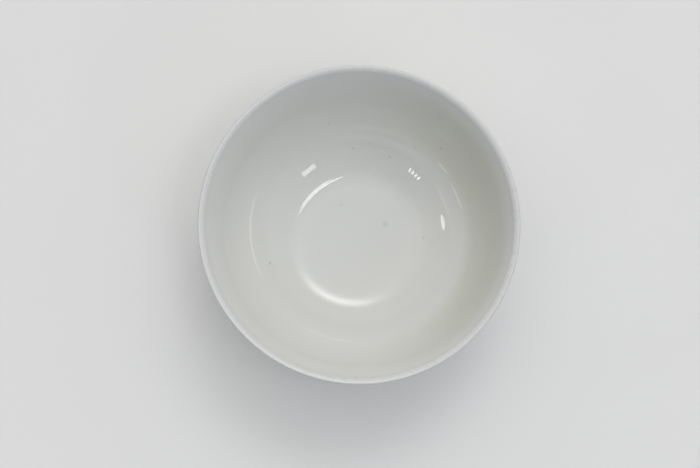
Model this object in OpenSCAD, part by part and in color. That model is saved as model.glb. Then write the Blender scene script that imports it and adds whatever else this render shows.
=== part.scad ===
// Latte bowl in glazed porcelain: a jiggered body on a luted foot ring, with three coats of glaze.
// Lengths are millimetres. The bowl stands on z = 0 and its axis is the z axis.
// Every piece is a turned section. A section is drawn from the glazed surface inwards, so the
// clay and the glaze on it share one line and the finished bowl keeps the sizes named here.

/* [Bowl] */
// Diameter across the lip
rim_d = 150; // [134:1:166]
// Height from the table to the top of the lip
bowl_h = 73; // [66:1:81]
// Diameter of the flat floor of the well
well_d = 54; // [46:1:62]
// Radius of the bend from the floor of the well to the wall
well_bend_r = 23; // [20:1:27]
// Steepness of the wall where it leaves the well, in degrees
well_slope = 22; // [20:1:26]
// Length of the straight stretch of wall below the lip
straight_l = 26; // [20:1:33]
// Radius of the long round on the inside of the lip, glaze included
lip_in_r = 2.7; // [2.2:0.1:3.4]
// Radius of the tight round on the outside of the lip, glaze included
lip_out_r = 0.7; // [0.6:0.1:1.1]
// Thickness of the floor, glaze included
floor_t = 5; // [4:0.1:6]

/* [Foot ring] */
// Height of the foot ring, from the table to its seat under the body
foot_h = 7.5; // [6:0.5:9]
// How far the foot ring stands out past the flat floor of the well
foot_out = 7; // [5.5:0.5:8]
// Width of the foot ring near the table
foot_w = 4.2; // [3.4:0.1:5]
// Radius of the cove between the foot ring and the wall
foot_cove_r = 3.2; // [2.4:0.1:4]
// Lean of the inner side of the foot ring, in degrees
foot_draft = 12; // [6:1:18]
// Rounding of the two bare edges that meet the table
foot_edge_r = 0.8; // [0.4:0.1:1.2]

/* [Glaze] */
// Thickness of the glaze
glaze_t = 0.3; // [0.2:0.05:0.45]
// Height of the clay that is wiped bare at the bottom of the foot ring
bare_h = 1.6; // [1.3:0.1:2.2]
// Radius of the glaze that pools in the corner under the floor
pool_r = 1.5; // [1:0.1:2.5]

/* [Hidden] */

// Facets round the bowl, and how far a straight step of a section may lie off its true bend
$fn = 180;
step_off = 0.01;

bisque = [0.93, 0.91, 0.86];
milk_glaze = [0.80, 0.81, 0.78];

well_r = well_d / 2;
floor_z = foot_h - glaze_t + floor_t;

// The lip's two rounds meet where it is highest, at the same distance from the axis.
crest_r = rim_d / 2 - lip_out_r;
lip_in_centre = [crest_r, bowl_h - lip_in_r];
lip_out_centre = [crest_r, bowl_h - lip_out_r];

// The wall is one bend and then a straight that runs into the lip's inner round.
// Both are found from the end of the well's bend, followed at the depth of that round's middle.
knee = [well_r, floor_z] + well_bend_r * [sin(well_slope), 1 - cos(well_slope)];
reach = lip_in_centre - knee - lip_in_r * [sin(well_slope), -cos(well_slope)];
reach_on = reach * [cos(well_slope), sin(well_slope)];
reach_up = reach * [-sin(well_slope), cos(well_slope)];
mid_wall_r = (reach_on * reach_on + reach_up * reach_up - straight_l * straight_l) / (2 * reach_up);
lip_slope = well_slope + atan2(reach_up - mid_wall_r, reach_on) + atan2(mid_wall_r, straight_l);
wall_r = mid_wall_r - lip_in_r;

// Thickness of the wall where it runs into the lip
lip_t = lip_in_r * (1 - cos(lip_slope)) + lip_out_r * (1 + cos(lip_slope));

// The cove touches the foot ring's upright side and the bend under the well.
foot_r = well_r + foot_out;
heel_r = well_bend_r + floor_t + foot_cove_r;
heel_slope = asin((foot_out + foot_cove_r) / heel_r);
cove_centre = [foot_r + foot_cove_r, floor_z + well_bend_r - heel_r * cos(heel_slope)];
seat_angle = 180 - asin((foot_h - cove_centre.y) / (foot_cove_r + glaze_t));
foot_in_r = foot_r - foot_w;

// Angles after a, in even steps up to b, close enough for a bend of radius r
function spread(a, b, r) =
    let (n = ceil(abs(b - a) / (2 * acos(1 - step_off / r)))) [for (i = [1:n]) a + (b - a) * i / n];

// Points on a circle, both ends included
function arc(centre, r, a, b) = [for (t = concat([a], spread(a, b, r))) centre + r * [cos(t), sin(t)]];

function reverse(points) = [for (i = [len(points) - 1:-1:0]) points[i]];

function but_last(points) = [for (i = [0:len(points) - 2]) points[i]];

// The point of the bowl where the inside has slope s, at depth d below the inside surface
function skin(s, d) =
    let (down = d * [sin(s), -cos(s)])
    s < well_slope
        ? [well_r, floor_z] + well_bend_r * [sin(s), 1 - cos(s)] + down
        : knee + wall_r * [sin(s) - sin(well_slope), cos(well_slope) - cos(s)] + down;

// Thickness of the wall where the inside has slope s: the floor's as far as the knee, then easing
// to the lip's
function thickness(s) =
    let (way = max(0, s - well_slope) / (lip_slope - well_slope))
    floor_t + (lip_t - floor_t) * (1 - cos(180 * way)) / 2;

// The lines below lie at depth u under the glazed surface: 0 is the glaze, glaze_t the clay.
// Where the lip is highest
function lip_top(u) = [crest_r, bowl_h - u];

// Inside line, from the middle of the floor to just short of the top of the lip
function inside_line(u) = concat(
    [[0, floor_z - u], skin(0, u)],
    [for (s = spread(0, well_slope, well_bend_r)) skin(s, u)],
    [for (s = spread(well_slope, lip_slope, wall_r)) skin(s, u)],
    but_last(arc(lip_in_centre, lip_in_r - u, 90 + lip_slope, 90)));

// Outside line, from the seat of the foot ring to just short of the top of the lip
function outside_line(u) = concat(
    arc(cove_centre, foot_cove_r + u, seat_angle, 90 + heel_slope),
    [for (s = spread(heel_slope, well_slope, well_bend_r)) skin(s, thickness(s) - u)],
    [for (s = spread(well_slope, lip_slope, wall_r)) skin(s, thickness(s) - u)],
    but_last(arc(lip_out_centre, lip_out_r - u, lip_slope - 90, 90)));

// Line of the cove on the foot ring, from its upright side to its seat
function foot_line(u) = arc(cove_centre, foot_cove_r + u, 180, seat_angle);

// Inner side of the foot ring's clay at height z
function foot_inner(z) = foot_in_r - z * tan(foot_draft);

// Line of the recess under the floor, from the bare clay up and in to the axis; the glaze rounds
// the corner and the clay leaves it sharp
function recess_line(u) =
    let (
        lift = foot_h - glaze_t + u,
        side = (glaze_t - u) / cos(foot_draft),
        pool = u < glaze_t ? pool_r : 0,
        corner = [foot_inner(lift) - side, lift],
        back = pool * tan(45 - foot_draft / 2),
        start = corner - back * [-sin(foot_draft), cos(foot_draft)],
        middle = start - pool * [cos(foot_draft), sin(foot_draft)]
    )
    concat(
        [[foot_inner(bare_h) - side, bare_h]],
        pool > 0 ? arc(middle, pool, foot_draft, 90) : [corner],
        [[0, lift]]);

// A turned piece whose half section has these points
module turned(points) {
    rotate_extrude() polygon(points);
}

module porcelain_body() {
    color(bisque)
        turned(concat(
            inside_line(glaze_t),
            [lip_top(glaze_t)],
            reverse(outside_line(glaze_t)),
            [[0, foot_h]]));
}

module foot_ring() {
    outer_edge = [foot_r - glaze_t - foot_edge_r, foot_edge_r];
    inner_edge_r = foot_inner(foot_edge_r) + foot_edge_r / cos(foot_draft);
    color(bisque)
        turned(concat(
            reverse(foot_line(glaze_t)),
            arc(outer_edge, foot_edge_r, 0, -90),
            arc([inner_edge_r, foot_edge_r], foot_edge_r, -90, foot_draft - 180),
            [[foot_inner(foot_h), foot_h]]));
}

module inside_glaze() {
    color(milk_glaze)
        turned(concat(
            inside_line(0),
            [lip_top(0), lip_top(glaze_t)],
            reverse(inside_line(glaze_t))));
}

// Line of the outside glaze, from the bare clay up over the seat to the top of the lip
function outer_coat(u) =
    concat([[foot_r - u, bare_h]], but_last(foot_line(u)), outside_line(u), [lip_top(u)]);

module outside_glaze() {
    color(milk_glaze)
        turned(concat(
            outer_coat(0),
            reverse(outer_coat(glaze_t))));
}

module underside_glaze() {
    color(milk_glaze)
        turned(concat(recess_line(0), reverse(recess_line(glaze_t))));
}

porcelain_body();
foot_ring();
inside_glaze();
outside_glaze();
underside_glaze();
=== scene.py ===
"""A latte bowl of glazed porcelain: its finish, its lamps and its camera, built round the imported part."""

import math

import bpy
import numpy as np
from mathutils import Matrix, Vector


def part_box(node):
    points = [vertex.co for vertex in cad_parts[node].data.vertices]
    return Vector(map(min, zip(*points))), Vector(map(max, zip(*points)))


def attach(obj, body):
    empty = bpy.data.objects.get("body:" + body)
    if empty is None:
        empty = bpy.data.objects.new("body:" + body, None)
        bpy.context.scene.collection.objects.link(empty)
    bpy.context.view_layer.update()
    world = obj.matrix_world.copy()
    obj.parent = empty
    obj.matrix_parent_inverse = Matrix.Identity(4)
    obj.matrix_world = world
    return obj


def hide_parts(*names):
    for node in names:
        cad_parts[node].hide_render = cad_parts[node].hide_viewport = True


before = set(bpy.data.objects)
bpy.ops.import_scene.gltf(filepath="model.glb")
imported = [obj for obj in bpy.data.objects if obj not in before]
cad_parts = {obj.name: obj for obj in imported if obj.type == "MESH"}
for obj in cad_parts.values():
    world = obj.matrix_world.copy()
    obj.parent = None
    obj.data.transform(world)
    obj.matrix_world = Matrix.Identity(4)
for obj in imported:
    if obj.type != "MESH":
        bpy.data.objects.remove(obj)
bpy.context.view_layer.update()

MM = 0.001
# A number so small that it counts as none
TINY = 1e-9

# Sizes of the finished bowl. The frame gives the rim, the height and the floor. The rim is taken where
# the frame's facets come nearest to the axis, and a hair inside, so that the skins stay in its box.
GLAZE_T = 0.3 * MM
HAIR = 0.005 * MM
BOX_LOW, BOX_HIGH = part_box("outside_glaze")
RIM_R = min(-BOX_LOW.x, -BOX_LOW.y, BOX_HIGH.x, BOX_HIGH.y) - HAIR
BOWL_H = BOX_HIGH.z
FLOOR_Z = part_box("inside_glaze")[0].z + GLAZE_T
WELL_R = 27 * MM
WELL_BEND_R = 23 * MM
WELL_SLOPE = math.radians(22)
STRAIGHT_L = 26 * MM
LIP_IN_R = 2.7 * MM
LIP_OUT_R = 0.7 * MM
FLOOR_T = 5 * MM
FOOT_H = FLOOR_Z - FLOOR_T + GLAZE_T
FOOT_OUT = 7 * MM
FOOT_W = 4.2 * MM
FOOT_R = WELL_R + FOOT_OUT
FOOT_IN_R = FOOT_R - FOOT_W
FOOT_COVE_R = 3.2 * MM
FOOT_DRAFT = math.radians(12)
FOOT_EDGE_R = 0.8 * MM
BARE_H = 1.6 * MM
POOL_R = 1.5 * MM

# Steps of the turned meshes: round the bowl, along a wall, on the lip and across the width of a mark
ROUND_STEPS = 288
WALL_STEP = 0.64 * MM
LIP_STEP = 0.12 * MM
MARK_STEPS = 4
# Points of the lines that the meshes are turned from: on a bend or round, on a small edge, on the wiped
# end of a glaze, and on the wall inside and outside
BEND_POINTS = 24
EDGE_POINTS = 12
WIPED_POINTS = 6
INSIDE_POINTS = 60
OUTSIDE_POINTS = 80
# How much closer the first points of the glaze's line lie, so that its reflections run smoothly
FINE = 12
# Points at which a line is measured before its steps are laid out
MEASURED_POINTS = 20000

# Bearings and spans of all marks are in degrees, from the x axis towards the y axis.
# Marks that the jigger's blade left inside, as low ridges round the axis: radius, width and height of
# the ridge, the bearing at which it is tallest and the span over which it fades
JIGGER_MARKS = (
    (39.8 * MM, 2.4 * MM, 0.020 * MM, 78, 30),
    (47.2 * MM, 1.3 * MM, 0.030 * MM, 16, 22),
    (50.3 * MM, 2.0 * MM, 0.060 * MM, 80, 40),
    (54.6 * MM, 1.8 * MM, 0.040 * MM, 60, 40),
    (57.3 * MM, 2.6 * MM, 0.030 * MM, 80, 40),
    (60.9 * MM, 1.5 * MM, 0.025 * MM, 74, 25),
    (62.8 * MM, 1.4 * MM, 0.025 * MM, 205, 25),
    (64.6 * MM, 1.9 * MM, 0.016 * MM, 48, 30),
    (67.1 * MM, 1.7 * MM, 0.016 * MM, 125, 40),
)
# Part of a jigger mark's height that it keeps all the way round
MARK_ALL_ROUND = 0.1
# Lines that the blade's edge drew, as ridges, or grooves where the height is below 0, with painted highlights
# over the ridges and painted shade in the grooves. Each has the middle of the circle that it runs on, its
# radius, the line's width and height, its bearing, its span and how much painted light it carries, below 0
# painted shade.
BLADE_LINES_AND_PAINTED_LIGHT = (
    (-2.0 * MM, 3.8 * MM, 50.2 * MM, 1.0 * MM, 0.05 * MM, 180, 17, 0.17),
    (0.0, 0.0, 51.3 * MM, 0.9 * MM, 0.04 * MM, -107, 13, 0.07),
    (0.0, 0.0, 54.3 * MM, 0.9 * MM, 0.05 * MM, 38.7, 3.2, 0.20),
    (0.0, 0.0, 53.3 * MM, 0.9 * MM, 0.05 * MM, 22, 6, 0.20),
    (0.0, 0.0, 47.1 * MM, 1.2 * MM, 0.04 * MM, 24, 9, 0.08),
    (0.0, 0.0, 47.8 * MM, 2.8 * MM, -0.02 * MM, 78, 18, -0.028),
    (0.0, 0.0, 50.3 * MM, 1.6 * MM, 0.02 * MM, 78, 24, 0.020),
    (0.0, 0.0, 52.4 * MM, 1.6 * MM, -0.02 * MM, 76, 12, -0.022),
    (0.0, 0.0, 54.3 * MM, 1.6 * MM, 0.02 * MM, 76, 15, 0.026),
    (0.0, 0.0, 61.2 * MM, 1.4 * MM, 0.02 * MM, 76, 10, 0.014),
)
# Where a line's shade ends across it, in widths of the line, and where along it the shade is gone and
# where it is full, in spans from its bearing
LINE_HALF = 0.75
LINE_GONE = 1.6
LINE_FULL = 0.3
# The bowl's slow unevenness: wavelength along the wall, height and turns of phase round the bowl
WAVES = ((4.3 * MM, 0.0004 * MM, 1), (7.1 * MM, 0.001 * MM, 2), (13.0 * MM, 0.003 * MM, 1))
# How far the phase of a wave swings on its way round, in radians
WAVE_SWING = 1.7

# Specks under the glaze inside: distance from the axis, bearing, radius and depth of shade
SPECKS = (
    (44.3 * MM, 196, 0.75 * MM, 0.42),
    (44.9 * MM, 197, 0.45 * MM, 0.20),
    (16.7 * MM, 29, 2.4 * MM, 0.11),
    (33.2 * MM, 2, 1.2 * MM, 0.12),
    (34.0 * MM, 4, 0.8 * MM, 0.10),
    (57.1 * MM, 104, 0.9 * MM, 0.18),
    (45.2 * MM, 92, 0.9 * MM, 0.18),
    (47.8 * MM, 82, 1.1 * MM, 0.10),
    (44.4 * MM, 68, 1.1 * MM, 0.15),
    (52.9 * MM, 57, 0.8 * MM, 0.18),
    (59.2 * MM, 46, 1.0 * MM, 0.22),
    (19.4 * MM, 112, 1.1 * MM, 0.11),
    (70.4 * MM, 7, 0.9 * MM, 0.10),
)
# Part of a speck's radius within which it is darkest
SPECK_CORE = 0.2
# Faint specks at random: the size of the cells that may hold one, its core and edge as parts of a cell,
# the depth of its shade, and the random value above which a cell has one
SPECK_CELL = 11 * MM
FAINT_CORE = 0.01
FAINT_EDGE = 0.05
FAINT_DEPTH = 0.05
FAINT_ABOVE = 0.7

# Colour of the glaze inside by distance from the axis, with painted shade darkening the well and the lip, and
# outside by height
INSIDE_COLOURS_AND_PAINTED_SHADE = (
    (20 * MM, (0.608, 0.616, 0.601)),
    (30 * MM, (0.628, 0.636, 0.620)),
    (40 * MM, (0.655, 0.662, 0.643)),
    (48 * MM, (0.684, 0.690, 0.671)),
    (58 * MM, (0.697, 0.702, 0.682)),
    (64 * MM, (0.712, 0.717, 0.698)),
    (70 * MM, (0.742, 0.750, 0.738)),
    (71.4 * MM, (0.730, 0.738, 0.730)),
    (72.1 * MM, (0.670, 0.677, 0.676)),
    (73.5 * MM, (0.610, 0.616, 0.618)),
)
# Outside, the top stop is painted shade on the outer edge of the lip
OUTSIDE_COLOURS_AND_PAINTED_SHADE = (
    (1 * MM, (0.665, 0.680, 0.650)),
    (9 * MM, (0.672, 0.686, 0.660)),
    (30 * MM, (0.685, 0.695, 0.680)),
    (70 * MM, (0.690, 0.698, 0.695)),
    (71.8 * MM, (0.590, 0.597, 0.600)),
)
# Side of the bowl on which the wall has a band of painted shade, warm as bounce light, its deeper colour
# there, and the distances from the axis over which it comes in and goes out
WARM_SHADE_SIDE = 4
WARM_SHADE_COLOUR = (0.615, 0.622, 0.560)
WARM_SHADE_FROM = (50 * MM, 58 * MM)
WARM_SHADE_TO = (67 * MM, 72 * MM)
# Side of the wall darkened by painted shade, how much darker it is there, and where; the opposite side gets
# painted light
PAINTED_SHADE_SIDE = 80
PAINTED_SHADE_DEPTH = 0.04
PAINTED_SHADE_FROM = (43 * MM, 54 * MM)
PAINTED_SHADE_TO = (69 * MM, 72 * MM)
# Patches in the colour of the glaze and of the table: size, depth of shade and detail
GLAZE_PATCHES = ((16 * MM, 0.030, 2.0), (1.3 * MM, 0.026, 2.0))
TABLE_PATCHES = ((90 * MM, 0.02, 2.0), (1.6 * MM, 0.03, 3.0))
TABLE_COLOUR = (0.772, 0.772, 0.772)
TABLE_SIZE = 4.0
TABLE_ROUGHNESS = 0.9
TABLE_SPECULAR = 0.1

# Gloss of the glaze: least roughness, how much more it has in patches and their size, and how much more
# on the lip, between these two depths below its top
GLAZE_IOR = 1.6
GLAZE_ROUGHNESS = 0.015
PATCH_ROUGHNESS = 0.02
ROUGH_PATCH = 9 * MM
LIP_ROUGHNESS = 0.25
LIP_ROUGH_FROM = 3.0 * MM
LIP_ROUGH_FULL = 1.0 * MM
# Ripple of the glaze: size, detail and height
RIPPLE = 2.6 * MM
RIPPLE_DETAIL = 1.0
RIPPLE_H = 0.0010 * MM

# Bare clay: size and detail of its grain, size of its clouds, step of its turning marks, how much of its
# shade is even, in clouds and in grain, colours by cloud, gloss, and height of grain with turning marks
CLAY_GRAIN = 0.35 * MM
CLAY_DETAIL = 3.0
CLAY_CLOUD = 7 * MM
CLAY_TURNING = 0.55 * MM
CLAY_EVEN_SHADE = 0.91
CLAY_CLOUD_SHADE = 0.08
CLAY_GRAIN_SHADE = 0.10
CLAY_COLOURS = ((0.3, (0.78, 0.75, 0.69)), (0.7, (0.82, 0.79, 0.74)))
CLAY_ROUGHNESS = 0.62
CLAY_GRAIN_ROUGHNESS = 0.2
CLAY_SPECULAR = 0.3
CLAY_TURNING_PART = 0.2
CLAY_BUMP_H = 0.04 * MM

# The photograph's frame and scale, and how its camera stands over the middle of the rim
IMAGE_W = 700
IMAGE_H = 468
RIM_X = 359.4
RIM_Y = 222.8
PIXELS_PER_M = 2158.0
CAMERA_BACK = 115 * MM
CAMERA_LEFT = 22 * MM
CAMERA_UP = 800 * MM
# Rounds in which the camera's aim is corrected, width of its sensor in mm, and its nearest and farthest view
AIM_ROUNDS = 3
SENSOR_W = 36
NEAREST_VIEW = 0.01
FARTHEST_VIEW = 20

# Radiance of the room. It is made of soft parts, each brightest towards a bearing and elevation in
# degrees. A part falls off round it the faster the greater its sharpness: 1 is a gradient over the whole
# room, and 180 a soft lamp 14 degrees wide. The three of 180 make the key light.
ROOM_PARTS = (
    (60, 20, 1, (0.20, 0.20, 0.20)),
    (0, 25, 4, (0.28, 0.28, 0.28)),
    (60, 45, 4, (0.122, 0.120, 0.115)),
    (90, 45, 4, (0.082, 0.080, 0.076)),
    (120, 25, 4, (0.466, 0.452, 0.412)),
    (270, 25, 4, (0.068, 0.080, 0.104)),
    (300, 25, 4, (0.108, 0.120, 0.146)),
    (350, 75, 16, (0.30, 0.30, 0.30)),
    (180, 75, 16, (0.61, 0.61, 0.61)),
    (62, 61, 180, (3.6, 3.6, 3.6)),
    (84, 61, 180, (3.6, 3.6, 3.6)),
    (73, 72, 180, (0.7, 0.7, 0.7)),
)
# Windows that show in the glaze, as lamps that face the middle of the rim from this far: name, shape,
# bearing and elevation in degrees, width, height and radiance
LAMP_AWAY = 3.0
LAMPS = (
    ("window_a", "RECTANGLE", -48.5, 38, 0.50, 0.32, 4.3),
    ("window_c", "ELLIPSE", -33, 70.2, 0.95, 0.13, 8.1),
    ("window_c", "ELLIPSE", -33, 74.8, 1.15, 0.13, 8.1),
    ("window_c_middle", "ELLIPSE", -33, 72.5, 1.00, 0.24, 1.2),
    ("window_b", "RECTANGLE", -132, 34.5, 0.06, 0.26, 7.8),
    ("window_b", "RECTANGLE", -135, 34.5, 0.06, 0.26, 7.8),
    ("window_b", "RECTANGLE", -138, 34.5, 0.06, 0.26, 7.8),
    ("window_b", "RECTANGLE", -141, 34.5, 0.06, 0.26, 7.8),
    ("window_d", "ELLIPSE", -177.5, 30, 0.50, 0.24, 4.9),
)


def unit(angle):
    """Direction at this angle, as (radius, height) or (x, y)."""
    return np.array([math.cos(angle), math.sin(angle)])


def solve_wall():
    """Centre of the lip's inner round, end of the well's bend, radius of the wall's bend, the lip's slope."""
    lip = np.array([RIM_R - LIP_OUT_R, BOWL_H - LIP_IN_R])
    into_clay = unit(WELL_SLOPE - math.pi / 2)
    knee = np.array([WELL_R, FLOOR_Z + WELL_BEND_R]) + WELL_BEND_R * into_clay
    reach = lip - knee - LIP_IN_R * into_clay
    on = reach @ unit(WELL_SLOPE)
    up = reach @ unit(WELL_SLOPE + math.pi / 2)
    middle_r = (on * on + up * up - STRAIGHT_L**2) / (2 * up)
    slope = WELL_SLOPE + math.atan2(up - middle_r, on) + math.atan2(middle_r, STRAIGHT_L)
    return lip, knee, middle_r - LIP_IN_R, slope


LIP, KNEE, WALL_R, LIP_SLOPE = solve_wall()
LIP_OUT = np.array([RIM_R - LIP_OUT_R, BOWL_H - LIP_OUT_R])
LIP_T = LIP_IN_R * (1 - math.cos(LIP_SLOPE)) + LIP_OUT_R * (1 + math.cos(LIP_SLOPE))
HEEL_R = WELL_BEND_R + FLOOR_T + FOOT_COVE_R
HEEL_SLOPE = math.asin((FOOT_R - WELL_R + FOOT_COVE_R) / HEEL_R)
COVE = np.array([FOOT_R + FOOT_COVE_R, FLOOR_Z + WELL_BEND_R - HEEL_R * math.cos(HEEL_SLOPE)])
WALL_CENTRE = KNEE - WALL_R * unit(WELL_SLOPE - math.pi / 2)


def thickness(slope):
    """Thickness of the wall where the inside has this slope."""
    way = max(0.0, slope - WELL_SLOPE) / (LIP_SLOPE - WELL_SLOPE)
    return FLOOR_T + (LIP_T - FLOOR_T) * (1 - math.cos(math.pi * way)) / 2


def skin(slope, depth):
    """Point where the inside has this slope, at this depth below the inside surface."""
    into_clay = unit(slope - math.pi / 2)
    if slope < WELL_SLOPE:
        return np.array([WELL_R, FLOOR_Z + WELL_BEND_R]) + (WELL_BEND_R + depth) * into_clay
    return WALL_CENTRE + (WALL_R + depth) * into_clay


def arc(centre, radius, a, b, count=BEND_POINTS):
    """Points on a circle from angle a to b, both ends included."""
    return [centre + radius * unit(t) for t in np.linspace(a, b, count)]


def inside_line(depth, detail=1):
    """From the middle of the floor to the top of the lip, at this depth, with detail times the points."""
    well = np.linspace(0, WELL_SLOPE, BEND_POINTS * detail)
    wall = np.linspace(WELL_SLOPE, LIP_SLOPE, INSIDE_POINTS * detail)[1:]
    return (
        [np.array([0.0, FLOOR_Z - depth])]
        + [skin(s, depth) for s in (*well, *wall)]
        + arc(LIP, LIP_IN_R - depth, math.pi / 2 + LIP_SLOPE, math.pi / 2, BEND_POINTS * detail)
    )


def outside_line(depth, detail=1):
    """From the top of the lip to the side of the foot ring, at this depth, with detail times the points."""
    slopes = np.linspace(LIP_SLOPE, HEEL_SLOPE, OUTSIDE_POINTS * detail)[:-1]
    return (
        arc(LIP_OUT, LIP_OUT_R - depth, math.pi / 2, LIP_SLOPE - math.pi / 2, BEND_POINTS * detail)
        + [skin(s, thickness(s) - depth) for s in slopes]
        + arc(COVE, FOOT_COVE_R + depth, math.pi / 2 + HEEL_SLOPE, math.pi, BEND_POINTS * detail)
    )


def wiped_edge(side, way):
    """Rounded end of a glaze whose side is at this radius, the clay lying way (1 in or -1 out) of it."""
    centre = np.array([side - way * GLAZE_T, BARE_H + GLAZE_T])
    turns = np.linspace(0, math.pi / 2, WIPED_POINTS)
    return [centre + GLAZE_T * np.array([way * math.cos(t), -math.sin(t)]) for t in turns]


def foot_inner(height):
    """Inner side of the foot ring's clay at this height."""
    return FOOT_IN_R - height * math.tan(FOOT_DRAFT)


def recess_line():
    """Glazed line of the recess, from above the wiped edge up and in to the axis."""
    lift = FOOT_H - GLAZE_T
    side = GLAZE_T / math.cos(FOOT_DRAFT)
    corner = np.array([foot_inner(lift) - side, lift])
    start = corner + POOL_R * math.tan(math.pi / 4 - FOOT_DRAFT / 2) * unit(FOOT_DRAFT - math.pi / 2)
    middle = start - POOL_R * unit(FOOT_DRAFT)
    return arc(middle, POOL_R, FOOT_DRAFT, math.pi / 2) + [np.array([0.0, lift])]


def recess_clay_line():
    """Line of the recess in the clay, from the wiped edge up and in to the axis."""
    return [
        np.array([foot_inner(BARE_H), BARE_H]),
        np.array([foot_inner(FOOT_H), FOOT_H]),
        np.array([0.0, FOOT_H]),
    ]


def foot_line():
    """Closed line of the foot ring's clay, from the outer end of its seat down and round."""
    seat = math.pi - math.asin((FOOT_H - COVE[1]) / (FOOT_COVE_R + GLAZE_T))
    outer = np.array([FOOT_R - GLAZE_T - FOOT_EDGE_R, FOOT_EDGE_R])
    inner = np.array([foot_inner(FOOT_EDGE_R) + FOOT_EDGE_R / math.cos(FOOT_DRAFT), FOOT_EDGE_R])
    return (
        arc(COVE, FOOT_COVE_R + GLAZE_T, seat, math.pi)
        + arc(outer, FOOT_EDGE_R, 0, -math.pi / 2, EDGE_POINTS)
        + arc(inner, FOOT_EDGE_R, -math.pi / 2, FOOT_DRAFT - math.pi, EDGE_POINTS)
        + [np.array([foot_inner(FOOT_H), FOOT_H])]
    )


def ridge(away, width):
    """Height of a ridge of this width, 1 on its crest, at this distance across it."""
    return np.exp(-((away / (width / 2)) ** 2) * 2)


def fade(angles, bearing, span):
    """Part of a mark's height, 1 at its bearing and less the farther an angle is from it."""
    turn = np.degrees(np.angle(np.exp(1j * (angles - math.radians(bearing)))))
    return np.exp(-((turn / span) ** 2))


def relief(line, angles):
    """Height of the inside's unevenness above the even surface, for each point of a line and each angle."""
    radius = line[:, 0][:, None]
    along = runs(line)[:, None]
    height = np.zeros((len(line), len(angles)))
    for at, width, tall, bearing, span in JIGGER_MARKS:
        part = MARK_ALL_ROUND + (1 - MARK_ALL_ROUND) * fade(angles, bearing, span)
        height += tall * ridge(radius - at, width) * part
    for x, y, at, width, tall, bearing, span, _ in BLADE_LINES_AND_PAINTED_LIGHT:
        away = np.hypot(radius * np.cos(angles) - x, radius * np.sin(angles) - y)
        height += tall * ridge(away - at, width) * fade(angles, bearing, span)
    for length, tall, turns in WAVES:
        phase = WAVE_SWING * np.sin(turns * angles + length / MM)
        height += tall * np.sin(2 * math.pi * along / length + phase)
    floor_fade = np.clip((radius - WELL_R / 2) / (WELL_R / 2), 0, 1)
    lip_fade = np.clip((LIP[1] - LIP_IN_R - line[:, 1][:, None]) / (2 * LIP_IN_R), 0, 1)
    inside = (np.arange(len(line)) <= np.argmax(line[:, 1]))[:, None]
    return height * floor_fade * lip_fade * inside


def runs(line):
    """Distance along a line at each of its points."""
    return np.concatenate([[0], np.cumsum(np.hypot(*np.diff(line, axis=0).T))])


def resample(points, marked=False):
    """The same line with points a wall step apart, closer near the lip, and if marked near the marks."""
    points = np.array(points)
    points = points[np.concatenate([[True], np.diff(runs(points)) > TINY])]
    places = np.linspace(0, runs(points)[-1], MEASURED_POINTS)
    dense = np.stack([np.interp(places, runs(points), points[:, k]) for k in (0, 1)], axis=1)
    from_lip = np.hypot(*(dense - LIP_OUT).T)
    step = np.interp(from_lip, [LIP_OUT_R, 2 * LIP_IN_R, 4 * LIP_IN_R], [LIP_STEP, 2 * LIP_STEP, WALL_STEP])
    if marked:
        inside = np.arange(len(dense)) < np.argmax(dense[:, 1])
        outward = np.abs(np.gradient(dense[:, 0], places)) + TINY
        marks = [(0, 0, *mark[:2]) for mark in JIGGER_MARKS] + [line[:4] for line in BLADE_LINES_AND_PAINTED_LIGHT]
        for x, y, radius, width in marks:
            near = inside & (np.abs(dense[:, 0] - radius) < width + math.hypot(x, y))
            step = np.where(near, np.minimum(step, width / MARK_STEPS / outward), step)
    cost = np.concatenate([[0], np.cumsum(np.diff(places) / step[1:])])
    at = np.linspace(0, cost[-1], round(cost[-1]) + 1)
    return np.stack([np.interp(at, cost, dense[:, k]) for k in (0, 1)], axis=1)


def turned(line):
    """Grid of points of a line turned about the axis: a row for each point, a column for each angle."""
    angles = np.arange(ROUND_STEPS) * 2 * math.pi / ROUND_STEPS
    r = line[:, 0][:, None]
    z = np.repeat(line[:, 1][:, None], ROUND_STEPS, axis=1)
    return np.stack([r * np.cos(angles), r * np.sin(angles), z], axis=2)


def grid_normals(grid, line):
    """Unit normals of a turned grid, on its air side."""
    along = np.gradient(grid, runs(line), axis=0)
    around = np.roll(grid, -1, axis=1) - np.roll(grid, 1, axis=1)
    normal = np.cross(along, around)
    size = np.linalg.norm(normal, axis=2, keepdims=True)
    upright = np.where(grid[:, :, 2:] > FLOOR_Z - FLOOR_T / 2, 1.0, -1.0) * np.array([0, 0, 1.0])
    return np.where(size > TINY, normal / np.maximum(size, TINY), upright)


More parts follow.
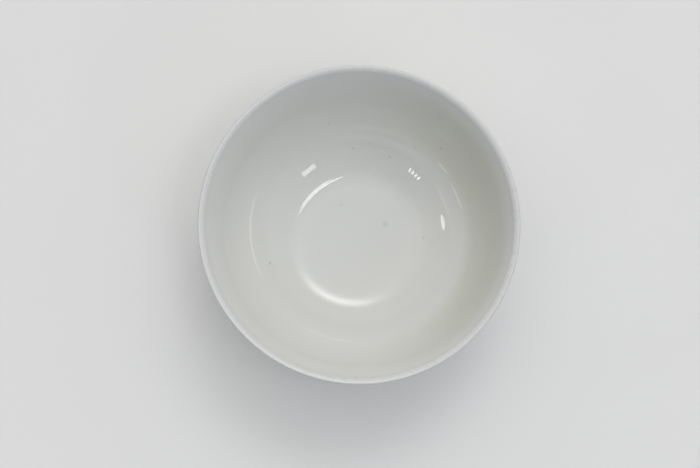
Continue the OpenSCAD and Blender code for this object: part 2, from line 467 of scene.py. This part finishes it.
def build_mesh(name, rows, normals, closed):
    """A turned piece from rows of points, in which a row on the axis becomes one point.

    normals matches rows and holds nan where the faces' own normals do. closed joins the last row to
    the first.
    """
    verts, shading, index = [], [], []
    for row, normal in zip(rows, normals):
        on_axis = np.abs(row[:, :2]).max() < TINY
        count = 1 if on_axis else ROUND_STEPS
        index.append([len(verts) + (0 if on_axis else k) for k in range(ROUND_STEPS)])
        verts += [tuple(p) for p in row[:count]]
        shading += list(normal[:count])
    faces = []
    pairs = [(k, k + 1) for k in range(len(rows) - 1)] + [(len(rows) - 1, 0)] * closed
    for a, b in pairs:
        for c in range(ROUND_STEPS):
            d = (c + 1) % ROUND_STEPS
            face = list(dict.fromkeys([index[a][c], index[b][c], index[b][d], index[a][d]]))
            if len(face) > 2:
                faces.append(face)
    mesh = bpy.data.meshes.new(name)
    mesh.from_pydata(verts, [], faces)
    mesh.shade_smooth()
    shading = np.array(shading)
    loops = []
    for face, polygon in zip(faces, mesh.polygons):
        own = shading[face]
        flat = np.isnan(own).any()
        loops += [tuple(polygon.normal) if flat else tuple(n) for n in own]
    mesh.normals_split_custom_set(loops)
    piece = bpy.data.objects.new(name, mesh)
    bpy.context.scene.collection.objects.link(piece)
    return piece


def without_shading(rows):
    """Normals that leave every face of these rows its own."""
    return np.full(rows.shape, np.nan)


def make_glazes():
    """The glaze inside and outside, two closed skins cut from one surface at the top of the lip."""
    points = inside_line(0, FINE) + outside_line(0, FINE)[1:] + wiped_edge(FOOT_R, 1)
    line = resample(points, marked=True)
    even = turned(line)
    angles = np.arange(ROUND_STEPS) * 2 * math.pi / ROUND_STEPS
    grid = even + grid_normals(even, line) * relief(line, angles)[:, :, None]
    normals = grid_normals(grid, line)
    top = int(np.argmax(line[:, 1]))
    inner_clay = turned(np.array(inside_line(GLAZE_T)[::-1]))
    outer_clay = turned(np.array(outside_line(GLAZE_T)[::-1]))
    inside = build_mesh(
        "inside_glaze_coat",
        np.concatenate([grid[: top + 1], inner_clay]),
        np.concatenate([normals[: top + 1], without_shading(inner_clay)]),
        closed=False,
    )
    outside = build_mesh(
        "outside_glaze_coat",
        np.concatenate([grid[top:], outer_clay]),
        np.concatenate([normals[top:], without_shading(outer_clay)]),
        closed=True,
    )
    return inside, outside


def make_underside_glaze():
    """The glaze in the recess under the floor."""
    side = foot_inner(BARE_H) - GLAZE_T / math.cos(FOOT_DRAFT)
    line = resample(wiped_edge(side, -1)[::-1] + recess_line())
    grid = turned(line)
    clay = turned(np.array(recess_clay_line()[::-1]))
    rows = np.concatenate([grid, clay])
    normals = np.concatenate([grid_normals(grid, line), without_shading(clay)])
    return build_mesh("underside_glaze_coat", rows, normals, closed=True)


def make_foot():
    """The clay of the foot ring."""
    line = resample(foot_line())
    grid = turned(line)
    return build_mesh("turned_foot_ring", grid, grid_normals(grid, line), closed=True)


def add(tree, kind, inputs=None, **settings):
    """A new shader node. An input is set to a plain value or linked to another node's output."""
    node = tree.nodes.new("ShaderNode" + kind)
    for name, value in settings.items():
        setattr(node, name, value)
    for socket, value in (inputs or {}).items():
        if isinstance(value, bpy.types.NodeSocket):
            tree.links.new(value, node.inputs[socket])
        else:
            node.inputs[socket].default_value = value
    return node


def maths(tree, operation, *values):
    """Result of a maths node."""
    return add(tree, "Math", dict(enumerate(values)), operation=operation).outputs[0]


def vector_maths(tree, operation, a, b=(0, 0, 0), result="Vector"):
    """Result of a vector maths node."""
    return add(tree, "VectorMath", {0: a, 1: b}, operation=operation).outputs[result]


def spread(tree, value, low, high, at_low=0.0, at_high=1.0):
    """Value eased from at_low, where it is low or less, to at_high, where it is high or more."""
    inputs = {"Value": value, "From Min": low, "From Max": high, "To Min": at_low, "To Max": at_high}
    return add(tree, "MapRange", inputs, interpolation_type="SMOOTHSTEP").outputs["Result"]


def between(tree, value, rise, fall):
    """1 between the rise and the fall and 0 outside them, eased over the two ends of each."""
    return maths(tree, "MULTIPLY", spread(tree, value, *rise), spread(tree, value, *fall, 1.0, 0.0))


def clouds(tree, place, size, detail=2.0):
    """Soft random value from 0 to 1, in patches of this size."""
    inputs = {"Vector": place, "Scale": 1 / size, "Detail": detail, "Roughness": 0.5}
    return add(tree, "TexNoise", inputs).outputs["Fac"]


def patches(tree, place, large, small):
    """Shade about 1, uneven in large and in small patches, each with a size, a depth and a detail."""
    shades = []
    for size, depth, detail in (large, small):
        value = clouds(tree, place, size, detail)
        shades.append(maths(tree, "MULTIPLY_ADD", value, depth, 1 - depth / 2))
    return maths(tree, "MULTIPLY", *shades)


def colour_line(tree, value, stops):
    """Colour that runs through these stops, (place from 0 to 1, colour), as the value rises."""
    node = add(tree, "ValToRGB", {"Fac": value})
    elements = node.color_ramp.elements
    while len(elements) < len(stops):
        elements.new(0.5)
    for element, (place, colour) in zip(elements, stops):
        element.position = place
        element.color = (*colour, 1)
    return node.outputs["Color"]


def product(tree, colour, shade):
    """Colour times a shade."""
    return add(tree, "VectorMath", {0: colour, "Scale": shade}, operation="SCALE").outputs["Vector"]


def bumped(tree, shader, height, tall):
    """Gives a shader this height, 0 to 1, as a bump that is so tall."""
    bump = add(tree, "Bump", {"Strength": 1.0, "Distance": tall, "Height": height})
    tree.links.new(bump.outputs["Normal"], shader.inputs["Normal"])


def new_material(name):
    """A node material, its nodes, its Principled shader and the place on the object."""
    material = bpy.data.materials.new(name)
    material.use_nodes = True
    tree = material.node_tree
    return material, tree, tree.nodes["Principled BSDF"], add(tree, "TexCoord").outputs["Object"]


def from_line(tree, place, x=0.0, y=0.0):
    """Distance of a place from the upright line through x, y, which is the axis if they aren't given."""
    across = vector_maths(tree, "SUBTRACT", place, (x, y, 0))
    level = vector_maths(tree, "MULTIPLY", across, (1, 1, 0))
    return vector_maths(tree, "LENGTH", level, result="Value")


def height_of(tree, place):
    """Height of a place."""
    return add(tree, "SeparateXYZ", {0: place}).outputs["Z"]


def inside_height(radius):
    """Height of the glaze inside at this distance from the axis."""
    line = np.array(inside_line(0))
    return float(np.interp(radius, line[:, 0], line[:, 1]))


def speck_shade(tree, place, shade):
    """Shade darkened by the specks that show through the glaze inside."""
    for radius, bearing, size, depth in SPECKS:
        x, y = radius * unit(math.radians(bearing))
        gap = vector_maths(tree, "DISTANCE", place, (x, y, inside_height(radius)), "Value")
        speck = spread(tree, gap, SPECK_CORE * size, size, 1 - depth, 1.0)
        shade = maths(tree, "MULTIPLY", shade, speck)
    return shade


def faint_specks(tree, place, shade):
    """Shade darkened by a few faint specks at random places."""
    cells = add(tree, "TexVoronoi", {"Vector": place, "Scale": 1 / SPECK_CELL, "Randomness": 1.0})
    near = spread(tree, cells.outputs["Distance"], FAINT_CORE, FAINT_EDGE, FAINT_DEPTH, 0.0)
    random = add(tree, "SeparateColor", {0: cells.outputs["Color"]}).outputs[0]
    chosen = maths(tree, "GREATER_THAN", random, FAINT_ABOVE)
    kept = maths(tree, "SUBTRACT", 1.0, maths(tree, "MULTIPLY", near, chosen))
    return maths(tree, "MULTIPLY", shade, kept)


def side_part(tree, place, radius, bearing):
    """Cosine of the angle about the axis between a place and this bearing."""
    towards = (*unit(math.radians(bearing)), 0)
    return maths(tree, "DIVIDE", vector_maths(tree, "DOT_PRODUCT", place, towards, "Value"), radius)


def painted_blade_light(tree, place, radius, shade):
    """Shade with painted highlights and painted shade along the blade's lines."""
    # Painted highlights over the ridges and painted shade in the grooves, in the glaze's colour
    for x, y, at, width, _, bearing, span, painted_light in BLADE_LINES_AND_PAINTED_LIGHT:
        off = maths(tree, "ABSOLUTE", maths(tree, "SUBTRACT", from_line(tree, place, x, y), at))
        line = spread(tree, off, 0.0, LINE_HALF * width, painted_light, 0.0)
        ends = [math.cos(math.radians(part * span)) for part in (LINE_GONE, LINE_FULL)]
        there = spread(tree, side_part(tree, place, radius, bearing), *ends)
        shade = maths(tree, "MULTIPLY", shade, maths(tree, "MULTIPLY_ADD", line, there, 1.0))
    return shade


def finish_glaze(tree, shader, place, colour):
    """Gloss, slight ripple and colour of a glaze. It is less glossy on the lip, where it ran thin."""
    rough_from, rough_full = BOWL_H - LIP_ROUGH_FROM, BOWL_H - LIP_ROUGH_FULL
    lip = spread(tree, height_of(tree, place), rough_from, rough_full, 0.0, LIP_ROUGHNESS)
    rough_patches = clouds(tree, place, ROUGH_PATCH)
    uneven = maths(tree, "MULTIPLY_ADD", rough_patches, PATCH_ROUGHNESS, GLAZE_ROUGHNESS)
    tree.links.new(maths(tree, "ADD", lip, uneven), shader.inputs["Roughness"])
    tree.links.new(colour, shader.inputs["Base Color"])
    shader.inputs["IOR"].default_value = GLAZE_IOR
    bumped(tree, shader, clouds(tree, place, RIPPLE, RIPPLE_DETAIL), RIPPLE_H)


def make_inside_material():
    """Milk-white glaze, a little warm low on the wall and cool near the lip, with painted shade in the well
    and on the lip.

    It has specks, painted highlights and painted shade along the blade's lines, painted shade on one side of
    the wall and painted light on the other, and a band of painted shade, warm as bounce light, on a third
    side.
    """
    material, tree, shader, place = new_material("milk_glaze_inside")
    radius = from_line(tree, place)
    # Painted shade by distance from the axis: darker in the well and on the lip
    stops = [(at / RIM_R, colour) for at, colour in INSIDE_COLOURS_AND_PAINTED_SHADE]
    colour = colour_line(tree, maths(tree, "DIVIDE", radius, RIM_R), stops)
    shade = patches(tree, place, *GLAZE_PATCHES)
    shade = faint_specks(tree, place, speck_shade(tree, place, shade))
    shade = painted_blade_light(tree, place, radius, shade)
    # Painted shade on one side of the wall and painted light on the opposite side
    painted_shade_band = between(tree, radius, PAINTED_SHADE_FROM, PAINTED_SHADE_TO)
    painted_side_shade = maths(tree, "MULTIPLY", painted_shade_band, side_part(tree, place, radius, PAINTED_SHADE_SIDE))
    shade = maths(tree, "MULTIPLY", shade, maths(tree, "MULTIPLY_ADD", painted_side_shade, -PAINTED_SHADE_DEPTH, 1.0))
    # Band of painted shade with the warm tint of bounce light on one side of the wall
    towards = spread(tree, side_part(tree, place, radius, WARM_SHADE_SIDE), 0.0, 1.0)
    warm_shade = maths(tree, "MULTIPLY", between(tree, radius, WARM_SHADE_FROM, WARM_SHADE_TO), towards)
    mix = add(tree, "Mix", {"Factor": warm_shade, 6: colour, 7: (*WARM_SHADE_COLOUR, 1)}, data_type="RGBA")
    finish_glaze(tree, shader, place, product(tree, mix.outputs[2], shade))
    return material


def make_outside_material():
    """The same glaze outside, a little deeper where it ran down and gathered over the foot ring, with painted
    shade on its lip's outer edge.
    """
    material, tree, shader, place = new_material("milk_glaze_outside")
    stops = [(at / BOWL_H, colour) for at, colour in OUTSIDE_COLOURS_AND_PAINTED_SHADE]
    colour = colour_line(tree, maths(tree, "DIVIDE", height_of(tree, place), BOWL_H), stops)
    shade = faint_specks(tree, place, patches(tree, place, *GLAZE_PATCHES))
    finish_glaze(tree, shader, place, product(tree, colour, shade))
    return material


def make_clay_material():
    """Bare fired porcelain: matt, fine-grained, with the turning marks of the foot ring."""
    material, tree, shader, place = new_material("bare_porcelain")
    grain = clouds(tree, place, CLAY_GRAIN, CLAY_DETAIL)
    slow = clouds(tree, place, CLAY_CLOUD)
    turning = maths(tree, "MULTIPLY", from_line(tree, place), 2 * math.pi / CLAY_TURNING)
    shade = maths(tree, "MULTIPLY_ADD", slow, CLAY_CLOUD_SHADE, CLAY_EVEN_SHADE)
    shade = maths(tree, "MULTIPLY_ADD", grain, CLAY_GRAIN_SHADE, shade)
    colour = product(tree, colour_line(tree, slow, CLAY_COLOURS), shade)
    roughness = maths(tree, "MULTIPLY_ADD", grain, CLAY_GRAIN_ROUGHNESS, CLAY_ROUGHNESS)
    tree.links.new(colour, shader.inputs["Base Color"])
    tree.links.new(roughness, shader.inputs["Roughness"])
    shader.inputs["Specular IOR Level"].default_value = CLAY_SPECULAR
    height = maths(tree, "MULTIPLY_ADD", maths(tree, "SINE", turning), CLAY_TURNING_PART, grain)
    bumped(tree, shader, height, CLAY_BUMP_H)
    return material


def make_floor():
    """The plain pale table that the bowl stands on."""
    mesh = bpy.data.meshes.new("table_top")
    half = TABLE_SIZE / 2
    corners = [(-half, -half, 0), (half, -half, 0), (half, half, 0), (-half, half, 0)]
    mesh.from_pydata(corners, [], [(0, 1, 2, 3)])
    floor = bpy.data.objects.new("table_top", mesh)
    bpy.context.scene.collection.objects.link(floor)
    material, tree, shader, place = new_material("pale_table")
    colour = product(tree, TABLE_COLOUR, patches(tree, place, *TABLE_PATCHES))
    tree.links.new(colour, shader.inputs["Base Color"])
    shader.inputs["Roughness"].default_value = TABLE_ROUGHNESS
    shader.inputs["Specular IOR Level"].default_value = TABLE_SPECULAR
    mesh.materials.append(material)


def make_camera():
    """The photograph's camera, aimed so that the middle of the rim lies where the photograph has it."""
    data = bpy.data.cameras.new("camera")
    camera = bpy.data.objects.new("camera", data)
    bpy.context.scene.collection.objects.link(camera)
    rim = Vector((0, 0, BOWL_H))
    place = rim + Vector((-CAMERA_LEFT, -CAMERA_BACK, CAMERA_UP))
    aim_right = (RIM_X - IMAGE_W / 2) / PIXELS_PER_M
    aim_up = (IMAGE_H / 2 - RIM_Y) / PIXELS_PER_M
    aim = rim
    for _ in range(AIM_ROUNDS):
        forward = (aim - place).normalized()
        right = forward.cross(Vector((0, 1, 0))).normalized()
        up = right.cross(forward)
        depth = (rim - place).dot(forward)
        aim = rim - right * aim_right - up * aim_up
    turn = Matrix((right, up, -forward)).transposed().to_4x4()
    camera.matrix_world = Matrix.Translation(place) @ turn
    data.sensor_width = SENSOR_W
    data.lens = data.sensor_width * depth * PIXELS_PER_M / IMAGE_W
    data.clip_start = NEAREST_VIEW
    data.clip_end = FARTHEST_VIEW
    bpy.context.scene.camera = camera


def direction_to(azimuth, elevation):
    """Unit vector towards this bearing and elevation, in degrees."""
    a, e = math.radians(azimuth), math.radians(elevation)
    return Vector((math.cos(a) * math.cos(e), math.sin(a) * math.cos(e), math.sin(e)))


def make_lamp(name, shape, azimuth, elevation, width, height, strength):
    """A flat lamp that faces the middle of the rim from this direction. strength is its radiance."""
    towards = direction_to(azimuth, elevation)
    data = bpy.data.lights.new(name, "AREA")
    data.shape = shape
    data.size = width
    data.size_y = height
    area = width * height * (math.pi / 4 if shape == "ELLIPSE" else 1)
    data.energy = strength * math.pi * area
    lamp = bpy.data.objects.new(name, data)
    bpy.context.scene.collection.objects.link(lamp)
    lamp.location = Vector((0, 0, BOWL_H)) + towards * LAMP_AWAY
    lamp.rotation_euler = towards.to_track_quat("Z", "Y").to_euler()
    lamp.visible_camera = False


def make_world():
    """The light of the room, brightest high towards the y axis, where the key light is."""
    world = bpy.data.worlds.new("room")
    bpy.context.scene.world = world
    world.use_nodes = True
    tree = world.node_tree
    direction = add(tree, "TexCoord").outputs["Generated"]
    light = (0.0, 0.0, 0.0)
    for azimuth, elevation, sharpness, colour in ROOM_PARTS:
        towards = tuple(direction_to(azimuth, elevation))
        along = vector_maths(tree, "DOT_PRODUCT", direction, towards, "Value")
        part = maths(tree, "POWER", maths(tree, "MULTIPLY_ADD", along, 0.5, 0.5), sharpness)
        light = vector_maths(tree, "ADD", light, product(tree, colour, part))
    tree.links.new(light, tree.nodes["Background"].inputs["Color"])


inside_coat, outside_coat = make_glazes()
underside_coat = make_underside_glaze()
foot = make_foot()

inside_material = make_inside_material()
outside_material = make_outside_material()
clay_material = make_clay_material()

inside_coat.data.materials.append(inside_material)
outside_coat.data.materials.append(outside_material)
underside_coat.data.materials.append(outside_material)
foot.data.materials.append(clay_material)
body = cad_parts["porcelain_body"]
body.data.materials.clear()
body.data.materials.append(clay_material)

for piece, node, slot in (
    (inside_coat, "inside_glaze", "inside_glaze"),
    (outside_coat, "outside_glaze", "outside_glaze"),
    (underside_coat, "underside_glaze", "outside_glaze"),
    (foot, "foot_ring", "porcelain"),
):
    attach(piece, "root")
    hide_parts(node)

make_floor()
make_camera()
make_world()
for lamp in LAMPS:
    make_lamp(*lamp)

bpy.context.scene.view_settings.view_transform = "Standard"
